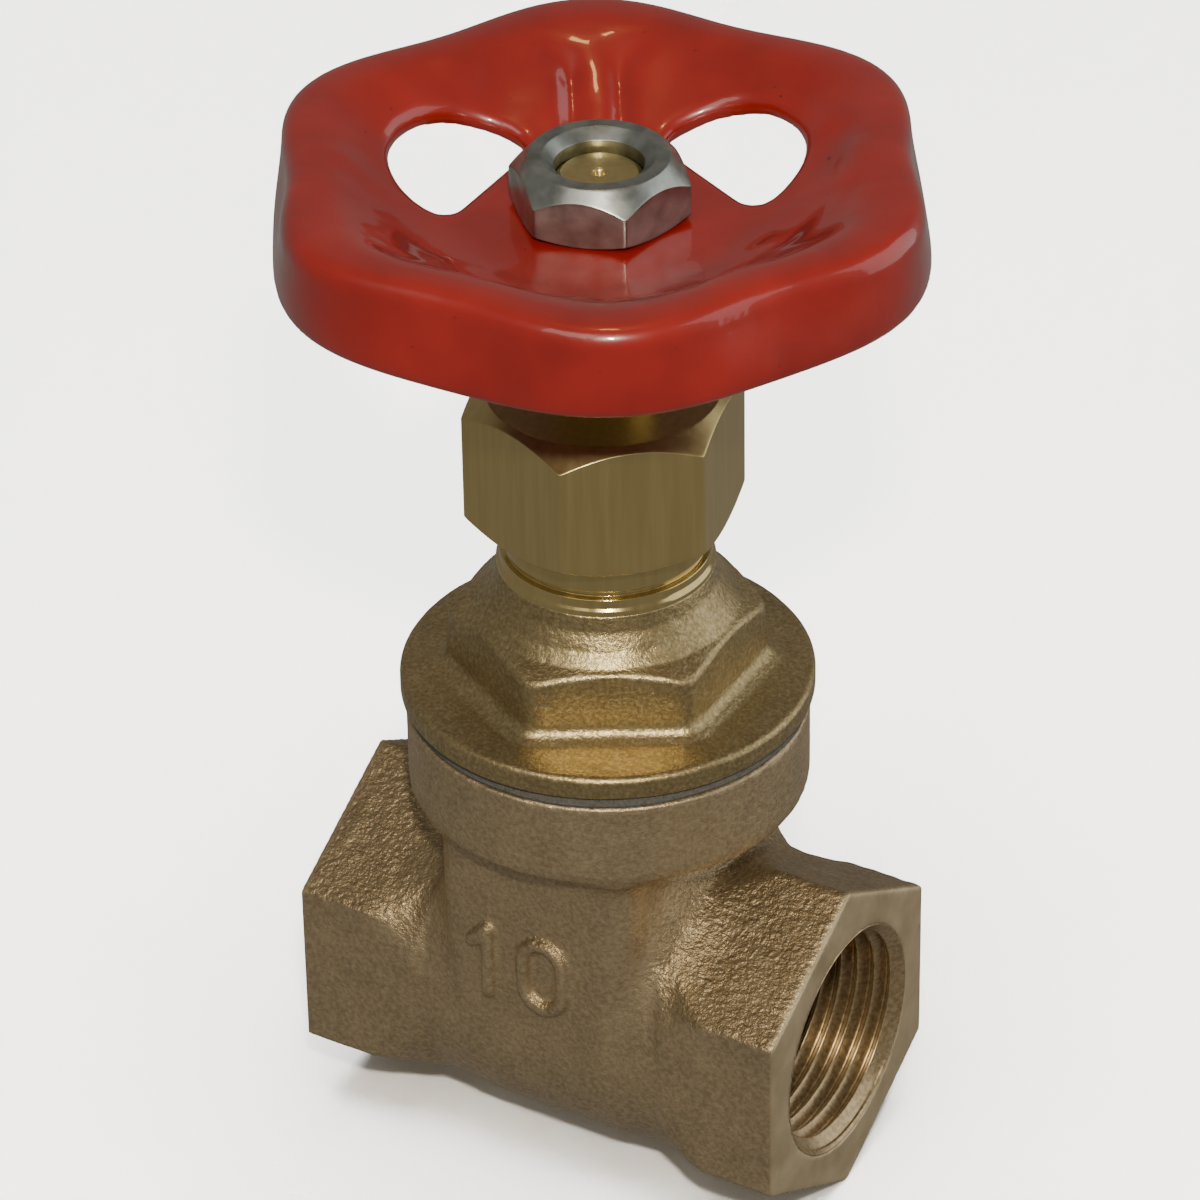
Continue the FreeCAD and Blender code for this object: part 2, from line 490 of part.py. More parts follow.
def make_handwheel():
    """Pressed sheet: lobed rim turned down, dished middle, two windows and a square hole."""
    rim = "Sizes.rim_height"
    blank = lobed_block("wheel_blank", "Sizes.wheel_flats", "Sizes.wheel_lobe", WHEEL_BOTTOM, rim)
    doc.recompute()
    top = blank.Shape.BoundBox.ZMax
    round_edges(blank, lambda edge: edge.BoundBox.ZMin > top - NEAR, "Sizes.wheel_edge")

    above, below = WHEEL_TOP + " + " + BEYOND, WHEEL_BOTTOM + " - " + BEYOND
    dish = [("0", above), ("0", HUB_TOP), ("Sizes.hub_radius", HUB_TOP),
            ("Sizes.crest_inner", WHEEL_TOP), ("Sizes.crest_inner", above)]
    far = "Sizes.wheel_flats"
    ceiling = WHEEL_TOP + " - Sizes.crest_thick"
    rise, run = "Sizes.dish_depth", "(Sizes.crest_inner - Sizes.hub_radius)"
    slant = "sqrt(%s ^ 2 + %s ^ 2)" % (rise, run)
    foot = "Sizes.hub_radius + Sizes.sheet * (%s - %s) / %s" % (slant, run, rise)
    head = "Sizes.crest_inner + (Sizes.sheet * %s - Sizes.crest_thick * %s) / %s" % (slant, run, rise)
    under = [("0", below), ("0", HUB_BOTTOM), (foot, HUB_BOTTOM), (head, ceiling), (far, ceiling),
             (far, below)]
    inner = lobed_block("wheel_inner", "(Sizes.wheel_flats - 2 * Sizes.sheet)",
                        "Sizes.wheel_lobe - Sizes.sheet", below, rim)
    hollow = joined("MultiCommon", "wheel_hollow", inner, turned("wheel_under", under))

    windows = []
    for side in WINDOWS:
        name = "window_%d" % side
        disc = bind(primitive("Cylinder", name + "_round", Radius="Sizes.window_radius", Height=rim),
                    Placement__Base__x="Sizes.window_centre")
        block = primitive("Box", name + "_block", Length=far, Width="2 * Sizes.window_radius", Height=rim)
        bind(block, Placement__Base__x="Sizes.window_inner", Placement__Base__y="-Sizes.window_radius")
        window = lift(joined("MultiCommon", name, disc, block), WHEEL_BOTTOM)
        windows.append(bind(window, Placement__Rotation__Angle=str(side)))
    hole = "(Sizes.drive_square / 2 + Sizes.screw_gap)"
    square = centred_box("wheel_square", hole, hole, WHEEL_BOTTOM, rim)
    tools = joined("MultiFuse", "wheel_tools", turned("wheel_dish", dish), hollow, *windows)
    shape = cut("wheel_shape", blank, tools)
    bind(shape, Placement__Rotation__Angle="Sizes.wheel_turn")
    return finish(cut("handwheel", shape, square), "handwheel")


def check_and_export():
    """Refuse a document with a failed object or a bad shape, then write one STEP file per piece."""
    failed = [o.Name for o in doc.Objects if {"Invalid", "Error"} & set(o.State)]
    if failed:
        raise RuntimeError("failed: " + ", ".join(failed))
    os.makedirs("parts", exist_ok=True)
    for label, piece in pieces.items():
        shape = piece.Shape
        if shape.isNull() or not shape.isValid() or len(shape.Solids) != 1:
            raise RuntimeError("bad shape: " + label)
        shape.Solids[0].exportStep("parts/" + label + ".step")
        print(label, round(shape.Volume, 1), [round(v, 3) for v in (
            shape.BoundBox.XMin, shape.BoundBox.XMax, shape.BoundBox.YMin, shape.BoundBox.YMax,
            shape.BoundBox.ZMin, shape.BoundBox.ZMax)])


make_sheet()
make_body()
finish(make_ring("bonnet_gasket", "Sizes.spigot_radius + Sizes.screw_gap", "Sizes.flange_radius",
                 "Sizes.flange_top", GASKET_TOP), "bonnet_gasket")
make_bonnet()
make_retaining_ring()
make_stem()
make_gate()
make_packing()
make_gland_nut()
make_handwheel()
make_handwheel_nut()
doc.recompute()
check_and_export()
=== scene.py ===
"""Gate valve with a red handwheel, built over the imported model.

Shapes are worked out in millimetres about the stem's axis, with the pipe's axis at height 0, and are
shifted along X into the model's frame when they become meshes.
"""
import json
import math

import bmesh
import bpy
import numpy as np
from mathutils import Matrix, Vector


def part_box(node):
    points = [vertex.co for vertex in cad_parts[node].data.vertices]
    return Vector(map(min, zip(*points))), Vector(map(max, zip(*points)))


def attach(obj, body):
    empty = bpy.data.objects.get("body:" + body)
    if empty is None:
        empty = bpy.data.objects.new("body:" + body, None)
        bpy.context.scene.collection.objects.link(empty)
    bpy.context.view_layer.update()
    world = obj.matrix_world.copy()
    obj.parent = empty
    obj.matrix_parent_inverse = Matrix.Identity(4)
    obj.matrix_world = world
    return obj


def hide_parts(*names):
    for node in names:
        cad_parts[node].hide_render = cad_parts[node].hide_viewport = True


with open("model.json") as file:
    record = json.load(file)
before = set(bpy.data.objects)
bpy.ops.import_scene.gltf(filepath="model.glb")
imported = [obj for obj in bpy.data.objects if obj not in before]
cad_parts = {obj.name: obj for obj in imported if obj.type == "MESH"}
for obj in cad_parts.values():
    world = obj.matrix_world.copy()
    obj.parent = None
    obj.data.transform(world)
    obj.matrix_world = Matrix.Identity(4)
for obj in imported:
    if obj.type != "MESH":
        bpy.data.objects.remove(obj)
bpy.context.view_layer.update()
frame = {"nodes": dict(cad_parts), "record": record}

import openvdb

MM = 0.001

# -- sizes that come from the model, in millimetres --


def box_mm(node):
    low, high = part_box(node)
    return np.array(low) / MM, np.array(high) / MM


BODY_LOW, BODY_HIGH = box_mm("body")
AXIS_X = (BODY_LOW[0] + BODY_HIGH[0]) / 2
HALF_LENGTH = (BODY_HIGH[0] - BODY_LOW[0]) / 2
END_FLATS = -BODY_LOW[2] * math.sqrt(3)
FLANGE_RADIUS, FLANGE_TOP = BODY_HIGH[1], BODY_HIGH[2]
GASKET_TOP = box_mm("bonnet_gasket")[1][2]
BONNET_LOW, BONNET_HIGH = box_mm("bonnet")
SPIGOT_BOTTOM, NECK_TOP, RIM_RADIUS = BONNET_LOW[2], BONNET_HIGH[2], BONNET_HIGH[1]
GLAND_LOW, GLAND_HIGH = box_mm("gland_nut")
FOLLOWER_TOP = box_mm("gland_follower")[1][2]
WASHER_LOW, WASHER_HIGH = box_mm("packing_washer")
RING_LOW, RING_HIGH = box_mm("stem_retaining_ring")
STEM_LOW, STEM_HIGH = box_mm("stem")
WHEEL_LOW, WHEEL_HIGH = box_mm("handwheel")
NUT_LOW, NUT_HIGH = box_mm("handwheel_nut")
PORTS = {m["name"]: m for m in frame["record"]["mounts"]}
THREAD_RADIUS = PORTS["port_outlet"]["dims"]["r_mm"]
THREAD_LENGTH = PORTS["port_outlet"]["dims"]["length_mm"]
MOUTH_CHAMFER = -BODY_LOW[0]

# -- sizes that only the looks need, in millimetres --
GAP = 0.05
STEM_RADIUS, STEM_SCREW_RADIUS, STEM_SCREW_TOP = 3.5, 3.0, 24.3
STEM_END_RADIUS, STEM_CENTRE_HOLE = 2.93, 0.5
COLLAR_HEIGHT = 2.15
SQUARE_HALF = 3.0
SPIGOT_RADIUS, SPIGOT_BORE = 10.0, 8.7
NECK_RADIUS, FLARE_TOP = 7.04, 34.3
GRID_MARGIN = 0.9
OVERRUN = 0.05

# -- numpy shapes --


def noise(points, spacing, seed):
    """Smooth field between -1 and 1: random values on a cubic lattice, blended by the smoothstep."""
    size = 64
    lattice = np.random.default_rng(seed).uniform(-1, 1, (size, size, size)).astype(np.float32)
    scaled = points / spacing
    cell = np.floor(scaled).astype(int)
    part = scaled - cell
    part = part * part * (3 - 2 * part)
    value = np.zeros(points.shape[:-1])
    for corner in np.ndindex(2, 2, 2):
        weight = np.prod(np.where(corner, part, 1 - part), axis=-1)
        at = (cell + corner) % size
        value += weight * lattice[at[..., 0], at[..., 1], at[..., 2]]
    return value


def smoothstep(low, high, value):
    """0 below low, 1 above high, and 3t squared minus 2t cubed between."""
    t = np.clip((value - low) / (high - low), 0, 1)
    return t * t * (3 - 2 * t)


def make_piece(name, points, quads, body, stands_for=()):
    """A smooth-shaded mesh of quads from points in millimetres, turned outwards by its signed volume."""
    a, b, c, d = (points[quads[:, k]] for k in range(4))
    volume = np.einsum("ij,ij->i", a, np.cross(b, c)) + np.einsum("ij,ij->i", a, np.cross(c, d))
    if volume.sum() < 0:
        quads = quads[:, ::-1]
    mesh = bpy.data.meshes.new(name)
    mesh.vertices.add(len(points))
    mesh.vertices.foreach_set("co", ((points + [AXIS_X, 0, 0]) * MM).astype(np.float32).ravel())
    mesh.loops.add(quads.size)
    mesh.loops.foreach_set("vertex_index", quads.astype(np.int32).ravel())
    mesh.polygons.add(len(quads))
    mesh.polygons.foreach_set("loop_start", np.arange(0, quads.size, 4, dtype=np.int32))
    mesh.polygons.foreach_set("use_smooth", np.ones(len(quads), dtype=bool))
    mesh.update(calc_edges=True)
    mesh.validate()
    piece = bpy.data.objects.new(name, mesh)
    bpy.context.scene.collection.objects.link(piece)
    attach(piece, body)
    if stands_for:
        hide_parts(*stands_for)
    return piece


def mark_points(piece, name, values):
    """Store one number a point, for a material to read."""
    piece.data.attributes.new(name, "FLOAT", "POINT").data.foreach_set("value", values.astype(np.float32))


def ring_quads(rows, columns):
    """Quads over a grid of points that closes on itself both ways."""
    index = np.arange(rows * columns).reshape(rows, columns)
    ahead, beside = np.roll(index, -1, 0), np.roll(index, -1, 1)
    return np.stack([index, ahead, np.roll(ahead, -1, 1), beside], -1).reshape(-1, 4)


def rounded(corners, radii, steps=4, between=(0.08, 0.5, 0.92)):
    """Closed profiles with arcs for corners. corners is (angles, corners, 2) of radius and height, radii
    has one value a corner. Each arc starts at the radius over the tangent of half the corner's angle, and
    is limited to under half of its shorter side. between places points along each straight side."""
    back = np.roll(corners, 1, 1) - corners
    ahead = np.roll(corners, -1, 1) - corners
    back_length = np.linalg.norm(back, axis=2, keepdims=True) + 1e-9
    ahead_length = np.linalg.norm(ahead, axis=2, keepdims=True) + 1e-9
    back, ahead = back / back_length, ahead / ahead_length
    half = np.arccos(np.clip((back * ahead).sum(2, keepdims=True), -1, 0.9999)) / 2
    half = np.minimum(half, math.pi / 2 - 1e-3)
    reach = np.asarray(radii, float)[None, :, None] / np.tan(half)
    reach = np.minimum(reach, 0.45 * np.minimum(back_length, ahead_length))
    middle = back + ahead
    middle /= np.linalg.norm(middle, axis=2, keepdims=True) + 1e-9
    centre = corners + middle * reach / np.cos(half)
    start, end = corners + back * reach - centre, corners + ahead * reach - centre
    sweep = math.pi - 2 * half
    rows = []
    for t in np.linspace(0, 1, steps):
        rows.append(centre + (np.sin((1 - t) * sweep) * start + np.sin(t * sweep) * end) / np.sin(sweep))
    leave, arrive = rows[-1], np.roll(rows[0], -1, 1)
    rows += [leave + (arrive - leave) * t for t in between]
    return np.stack(rows, 2).reshape(len(corners), -1, 2)


def turned_points(angles, profile):
    """Points of radius and height profiles carried round the stem's axis."""
    radius, height = profile[..., 0], profile[..., 1]
    turn = np.broadcast_to(angles[:, None], radius.shape)
    return np.stack([radius * np.cos(turn), radius * np.sin(turn), height], -1)


def even_angles(count):
    return np.linspace(0, 2 * math.pi, count, endpoint=False)


def hexagon_angles(turn, per_side):
    """Angles round a hexagon with a corner at turn degrees, closer together near the corners."""
    t = np.linspace(-1, 1, per_side, endpoint=False)
    eased = np.sign(t) * (1 - (1 - abs(t)) ** 2)
    return np.radians(turn + 60 * np.arange(6)[:, None] + 30 + 30 * eased).ravel()


def hexagon_radius(angles, flats, turn, power=90):
    """Radius of a hexagon with softened corners: half its width over the power mean of the cosines to
    its six flats."""
    normals = np.radians(turn + 30 + 60 * np.arange(6))
    cosines = np.clip(np.cos(angles[:, None] - normals), 0, None)
    return flats / 2 / (cosines ** power).sum(1) ** (1 / power)


def profile_rows(angles, corners):
    """Stack corners of (radius, height), numbers or one value per angle, into (angles, corners, 2)."""
    rows = [[np.broadcast_to(value, angles.shape) for value in corner] for corner in corners]
    return np.array(rows, float).transpose(2, 0, 1)


def turned_piece(name, angles, corners, body, stands_for=(), steps=4, between=(0.08, 0.5, 0.92),
                 shake=None):
    """A closed turned shape from corners of (radius, height, rounding). shake moves its points."""
    rows = profile_rows(angles, [corner[:2] for corner in corners])
    profile = rounded(rows, [corner[2] for corner in corners], steps, between)
    points = turned_points(angles, profile)
    if shake is not None:
        points = shake(points)
    quads = ring_quads(*points.shape[:2])
    return make_piece(name, points.reshape(-1, 3), quads, body, stands_for)


# -- level sets, for the shapes that are cast or pressed --


def level_grid(low, high, step):
    """Grid of points between two corners."""
    axes = [np.arange(a, b + step, step) for a, b in zip(low, high)]
    return np.stack(np.meshgrid(*axes, indexing="ij"), -1)


def blend(a, b, size, step):
    """Union of two distance fields with a fillet. The fillet shrinks to nothing where the two surfaces
    face the same way, so that tangent surfaces don't swell."""
    slope_a, slope_b = np.gradient(a, step), np.gradient(b, step)
    along = sum(p * q for p, q in zip(slope_a, slope_b))
    size = size * np.clip(1 - along, 0, 1) + 1e-4
    near = np.clip(size - abs(a - b), 0, None) / size
    return np.minimum(a, b) - near * near * size / 4


def soft_max(a, b, size):
    """Intersection of two distance fields with its edge rounded off."""
    near = np.clip(size - abs(a - b), 0, None) / size
    return np.maximum(a, b) + near * near * size / 4


def skin(field, low, step):
    """Quads of the field's zero surface."""
    grid = openvdb.FloatGrid(3.0)
    grid.copyFromArray(field.astype(np.float32))
    points, quads = grid.convertToQuads(isovalue=0.0)
    return points * step + low, quads.astype(np.int64)


def normals_of(points, quads):
    """Unit normal at each point, from the area vectors of its quads."""
    across = np.cross(points[quads[:, 2]] - points[quads[:, 0]], points[quads[:, 3]] - points[quads[:, 1]])
    total = np.zeros_like(points, dtype=float)
    for k in range(4):
        np.add.at(total, quads[:, k], across)
    total /= np.linalg.norm(total, axis=1, keepdims=True) + 1e-12
    a, b, c, d = (points[quads[:, k]] for k in range(4))
    volume = (a * (np.cross(b, c) + np.cross(c, d))).sum()
    return total if volume > 0 else -total


# -- the pieces --

CHAMBER_X, CHAMBER_Y, CHAMBER_CORNER = 8.0, 11.2, 2.6
TUBE_RADIUS = 10.8
FLANGE_BOTTOM = 16.6
OVERLAP = 2.0
SLOPE_START, SLOPE = 9.8, 0.63
TUBE_FILLET, CHAMBER_FILLET, FLANGE_FILLET = 1.2, 5.0, 2.6
CAVITY_Y, SEAT_RADIUS, SEAT_PLACE, SEAT_SLOPE = 8.5, 5.0, 5.2, math.tan(math.radians(5))
BORE_RADIUS = THREAD_RADIUS + MOUTH_CHAMFER + 0.02
THREAD_END = HALF_LENGTH - MOUTH_CHAMFER - THREAD_LENGTH
DRILL_SLOPE = 2.0
MARK_X, MARK_Z, MARK_STROKE, MARK_RELIEF = -0.4, 6.3, 0.46, 0.7


def numeral_distance(x, z):
    """Flat distance to the middle of the strokes of the nominal size, 10, cast on the chamber."""
    height = 2.7
    one_x, flag_width, flag_slope = -2.9, 1.25, 1.1
    zero_x, zero_radius = 1.5, 1.55
    upright = np.hypot(x - one_x, np.clip(abs(z) - height, 0, None))
    t = (one_x - x + (height - z) * flag_slope) / (1 + flag_slope ** 2) / flag_width
    t = np.clip(t, 0, 1) * flag_width
    flag = np.hypot(x - one_x + t, z - height + t * flag_slope)
    zero = abs(np.hypot(x - zero_x, np.clip(abs(z) - height + zero_radius, 0, None)) - zero_radius)
    return np.minimum(np.minimum(upright, flag), zero)


def make_body():
    """Sand casting: hexagon ends, tube, chamber and flange run together with fillets, a raised size
    mark, and the machined waterway, gate cavity and bonnet thread cut out of it."""
    step = 0.33
    low = np.array([-HALF_LENGTH, -FLANGE_RADIUS, BODY_LOW[2]]) - GRID_MARGIN
    grid = level_grid(low, np.array([HALF_LENGTH, FLANGE_RADIUS, FLANGE_TOP]) + GRID_MARGIN, step)
    x, y, z = grid[..., 0], grid[..., 1], grid[..., 2]
    rho, around = np.hypot(y, z), np.hypot(x, y)
    far, flat = abs(x), abs(y)
    hexagon = np.maximum(flat, flat / 2 + abs(z) * math.sqrt(3) / 2) - END_FLATS / 2
    cone = (rho - TUBE_RADIUS - (far - SLOPE_START) * SLOPE) / math.hypot(1, SLOPE)
    ends = soft_max(hexagon, cone, 0.6)
    ends = soft_max(ends, far - HALF_LENGTH, 0.25)
    tube = np.maximum(rho - TUBE_RADIUS, far - HALF_LENGTH + OVERLAP)
    wide = np.hypot(y, np.minimum(z, 0))
    qx, qy = far - CHAMBER_X + CHAMBER_CORNER, wide - CHAMBER_Y + CHAMBER_CORNER
    chamber = np.hypot(np.clip(qx, 0, None), np.clip(qy, 0, None)) + np.minimum(np.maximum(qx, qy), 0)
    chamber = np.maximum(chamber - CHAMBER_CORNER, z - FLANGE_BOTTOM - OVERLAP)
    flange = soft_max(np.maximum(around - FLANGE_RADIUS, z - FLANGE_TOP), FLANGE_BOTTOM - z, 0.7)
    solid = blend(tube, ends, TUBE_FILLET, step)
    solid = blend(solid, chamber, CHAMBER_FILLET, step)
    solid = blend(solid, flange, FLANGE_FILLET, step)
    mark = numeral_distance(x - MARK_X, z - MARK_Z) - MARK_STROKE
    mark = soft_max(mark, abs(y + CHAMBER_Y) - MARK_RELIEF, 0.3)
    solid = blend(solid, mark, 0.35, step)

    bore = np.maximum(rho - BORE_RADIUS, THREAD_END - far)
    taper = np.maximum(rho - THREAD_RADIUS + (THREAD_END - far) * DRILL_SLOPE, far - THREAD_END - 0.1)
    slot = np.maximum(wide - CAVITY_Y, z - SPIGOT_BOTTOM)
    cavity = np.maximum(slot, far - SEAT_PLACE - z * SEAT_SLOPE)
    spigot = np.maximum(around - SPIGOT_RADIUS - GAP, SPIGOT_BOTTOM - 0.4 - z)
    inside = np.minimum.reduce([bore, taper, rho - SEAT_RADIUS, cavity, spigot])
    field = np.maximum(solid, -inside)

    points, quads = skin(field, low, step)
    outward = normals_of(points, quads)
    rho = np.hypot(points[:, 1], points[:, 2])
    cast = smoothstep(0.15, 0.5, HALF_LENGTH - abs(points[:, 0])) * smoothstep(9.5, 10.2, rho)
    cast *= smoothstep(0.1, 0.6, FLANGE_TOP - points[:, 2])
    upper = smoothstep(0.15, 0.6, outward[:, 2])
    upper *= smoothstep(FLANGE_BOTTOM, FLANGE_BOTTOM - 2, points[:, 2])
    rough, waves = noise(points, 0.8, 1), noise(points, 5.0, 3)
    points = points + outward * (cast * (rough * (0.015 + 0.04 * upper) + waves * 0.03 - 0.03))[:, None]
    piece = make_piece("body_casting", points, quads, "valve_body", ["body"])
    mark_points(piece, "sandy", cast * upper)
    mark_points(piece, "faced", smoothstep(0.12, 0.05, HALF_LENGTH - abs(points[:, 0])))
    return piece


def make_port_thread(name, side):
    """Female pipe thread behind a mouth chamfer. The bore's radius is a rounded triangle wave of the
    distance along the axis in pitches less the turn, and the chamfer's cone where that is larger."""
    pitch, depth, crest = 1.337, 0.80, 0.965
    turns, along = 200, 150
    angles = even_angles(turns)
    start = HALF_LENGTH - 0.015
    distance = np.linspace(0, start - THREAD_END, along)
    place = side * (start - distance)
    wave = np.sin(2 * math.pi * (place[None, :] / pitch - angles[:, None] / (2 * math.pi)))
    wave = np.arcsin(crest * wave) / math.asin(crest)
    runout = smoothstep(0, 1.5, start - THREAD_END - distance)
    radius = THREAD_RADIUS + depth * (0.5 + 0.5 * wave) * runout
    radius = np.maximum(radius, BORE_RADIUS - 0.03 - distance)
    back = side * np.linspace(THREAD_END, start, 4)
    radius = np.concatenate([radius, np.full((turns, len(back)), BORE_RADIUS + OVERRUN)], 1)
    place = np.broadcast_to(np.concatenate([place, back])[None, :], radius.shape)
    turn = np.broadcast_to(angles[:, None], radius.shape)
    points = np.stack([place, radius * np.cos(turn), radius * np.sin(turn)], -1)
    quads = ring_quads(*points.shape[:2])
    return make_piece(name, points.reshape(-1, 3), quads, "valve_body")


def make_gasket():
    """Fibre ring, pressed a little out of round at its edge."""
    angles = even_angles(240)
    edge = FLANGE_RADIUS - 0.12 + 0.05 * np.sin(5 * angles + 1) + 0.03 * np.sin(13 * angles)
    inner = SPIGOT_RADIUS + 2 * GAP
    corners = [(inner, FLANGE_TOP, 0.1), (edge, FLANGE_TOP, 0.25), (edge, GASKET_TOP, 0.25),
               (inner, GASKET_TOP, 0.1)]
    return turned_piece("gasket_ring", angles, corners, "valve_body", ["bonnet_gasket"])


BONNET_FLATS, BONNET_TURN = 19.5, 31.1


def make_bonnet():
    """Hot stamping: turned rim, low shoulder, hexagon with a bowed bevel, flare and screwed neck."""
    angles = hexagon_angles(BONNET_TURN, 46)
    hexagon = hexagon_radius(angles, BONNET_FLATS, BONNET_TURN, 28)
    rim_top, foot, top = GASKET_TOP + 1.65, GASKET_TOP + 2.0, GASKET_TOP + 6.9
    bevel = (hexagon - BONNET_FLATS / 2) * 0.55
    packing, collar, ring = WASHER_HIGH[1] + GAP, STEM_HIGH[1] + GAP, RING_HIGH[1] + GAP
    journal, screwed = STEM_RADIUS + GAP, 6.7
    recess = RING_HIGH[2] + COLLAR_HEIGHT + GAP
    rim = RIM_RADIUS - 0.02
    corners = [
        (SPIGOT_BORE, SPIGOT_BOTTOM, 0.2), (SPIGOT_RADIUS, SPIGOT_BOTTOM, 0.3),
        (SPIGOT_RADIUS, GASKET_TOP, 0.05), (rim, GASKET_TOP, 0.25), (rim, rim_top, 0.45),
        (hexagon + 1.2, foot - 0.05, 1.2), (hexagon + 0.1, foot + 0.5, 1.3),
        (hexagon - 0.12, top - bevel - 0.1, 0.65), (9.2, top + 0.15, 0.8), (8.45, top + 1.0, 1.2),
        (7.8, FLARE_TOP - 1.1, 1.4), (7.55, FLARE_TOP, 0.2), (7.4, FLARE_TOP + 0.15, 0.05),
        (screwed, FLARE_TOP + 0.2, 0.1), (screwed, NECK_TOP, 0.1),
        (packing, NECK_TOP, 0.2), (packing, WASHER_LOW[2], 0.1), (journal, WASHER_LOW[2], 0.1),
        (journal, recess, 0.05), (collar, recess, 0.05), (collar, RING_HIGH[2], 0.05),
        (ring, RING_HIGH[2], 0.05), (ring, RING_LOW[2], 0.1), (SPIGOT_BORE, RING_LOW[2], 0.1),
    ]

    def blasted(points):
        """Dents of the blasted skin between the rim's edge and the neck."""
        around = np.hypot(points[..., 0], points[..., 1])
        skin_area = smoothstep(rim_top - 0.3, rim_top, points[..., 2])
        skin_area *= smoothstep(FLARE_TOP + 0.1, FLARE_TOP - 0.2, points[..., 2])
        skin_area *= smoothstep(6.9, 7.2, around)
        dents = noise(points, 0.5, 5) * 0.022 + noise(points, 2.5, 6) * 0.04
        scale = 1 - skin_area * (0.02 - dents) / np.maximum(around, 1)
        points[..., :2] *= scale[..., None]
        points[..., 2] += skin_area * dents * 0.6
        return points

    return turned_piece("bonnet_stamping", angles, corners, "valve_body", ["bonnet"], 5,
                        (0.04, 0.2, 0.35, 0.5, 0.65, 0.8, 0.96), blasted)


def make_neck():
    """Turned neck of the bonnet: a bright coned collar, a groove and the plain part up to its top."""
    inner, groove, foot = 6.2, 6.85, FLARE_TOP - 0.1
    corners = [(inner, foot, 0.05), (7.5, foot, 0.05), (7.52, foot + 0.45, 0.25), (7.3, foot + 0.75, 0.25),
               (7.25, foot + 1.3, 0.08), (groove, foot + 1.4, 0.05), (groove, foot + 1.75, 0.05),
               (NECK_RADIUS, foot + 1.8, 0.1), (NECK_RADIUS, NECK_TOP, 0.3), (inner, NECK_TOP, 0.05)]
    return turned_piece("bonnet_neck_turning", even_angles(240), corners, "valve_body")


GLAND_FLATS, GLAND_TURN = 17.0, 42.9
NUT_FLATS, NUT_TURN = 10.8, 16.2


def nut_outside(hexagon, bottom, top, lower, upper, edge):
    """Corners of a hexagon nut's outside. Each end has a flat face of a radius, and a cone of a slope
    that bows where it meets the flats."""
    rise = np.clip(hexagon - lower[0], 0, None) * lower[1]
    drop = np.clip(hexagon - upper[0], 0, None) * upper[1]
    return [(lower[0], bottom, edge), (hexagon, bottom + rise, edge), (hexagon, top - drop, edge),
            (upper[0], top, edge)]


def make_gland_nut():
    """Nut turned from drawn hexagon bar."""
    angles = hexagon_angles(GLAND_TURN, 48)
    hexagon = hexagon_radius(angles, GLAND_FLATS, GLAND_TURN)
    low, high = GLAND_LOW[2], GLAND_HIGH[2]
    hole, bore = STEM_RADIUS + 3 * GAP, NECK_RADIUS + 0.01
    corners = nut_outside(hexagon, low, high, (8.0, 0.62), (8.0, 0.75), 0.12)
    corners += [(hole, high, 0.3), (hole, FOLLOWER_TOP, 0.05), (bore, FOLLOWER_TOP, 0.05),
                (bore, low, 0.25)]
    return turned_piece("gland_nut_turning", angles, corners, "valve_body", ["gland_nut"])


def make_handwheel_nut():
    """Zinc-plated nut, countersunk at both ends."""
    angles = hexagon_angles(NUT_TURN, 48)
    hexagon = hexagon_radius(angles, NUT_FLATS, NUT_TURN, 70)
    low, high = NUT_LOW[2], NUT_HIGH[2]
    bore, sink, depth = 3.0, 3.8, 0.65
    corners = nut_outside(hexagon, low, high, (5.1, 0.5), (4.7, 1.1), 0.15)
    corners += [(sink, high, 0.12), (bore, high - depth, 0.05), (bore, low + depth, 0.05),
                (sink, low, 0.05)]
    return turned_piece("handwheel_nut_plated", angles, corners, "stem", ["handwheel_nut"])


def make_stem():
    """Turned stem with its screw at the bottom, collar, square for the wheel and screwed end."""
    angles = hexagon_angles(0, 32)
    low, high = STEM_LOW[2], STEM_HIGH[2]
    collar = STEM_HIGH[1]
    square = np.minimum(STEM_RADIUS, SQUARE_HALF / np.maximum(abs(np.cos(angles)), abs(np.sin(angles))))
    hub_low, hub_high, edge = NUT_LOW[2] - SHEET, NUT_LOW[2], 0.02
    collar_low, collar_high = RING_HIGH[2] + GAP, RING_HIGH[2] + COLLAR_HEIGHT
    corners = [
        (0.0, low, 0), (STEM_SCREW_RADIUS - 0.5, low, 0.1), (STEM_SCREW_RADIUS, low + 0.45, 0.1),
        (STEM_SCREW_RADIUS, STEM_SCREW_TOP, 0.1), (STEM_RADIUS, STEM_SCREW_TOP + 0.05, 0.1),
        (STEM_RADIUS, collar_low, 0.05), (collar, collar_low, 0.1), (collar, collar_high, 0.1),
        (STEM_RADIUS, collar_high, 0.05), (STEM_RADIUS, hub_low, 0.1), (square, hub_low + edge, edge),
        (square, hub_high - edge, edge), (STEM_END_RADIUS, hub_high, edge),
        (STEM_END_RADIUS, high - 0.35, 0.1), (STEM_END_RADIUS - 0.38, high, 0.12),
        (STEM_CENTRE_HOLE, high, 0.3), (0.0, high - 2 * STEM_CENTRE_HOLE, 0),
    ]
    piece = turned_piece("stem_turning", angles, corners, "stem", ["stem"])
    weld_poles(piece)
    return piece


def weld_poles(piece):
    """Merge the points that meet on the axis, and drop the faces that vanish there."""
    work = bmesh.new()
    work.from_mesh(piece.data)
    bmesh.ops.remove_doubles(work, verts=work.verts, dist=1e-7)
    bmesh.ops.dissolve_degenerate(work, edges=work.edges, dist=1e-8)
    work.to_mesh(piece.data)
    work.free()


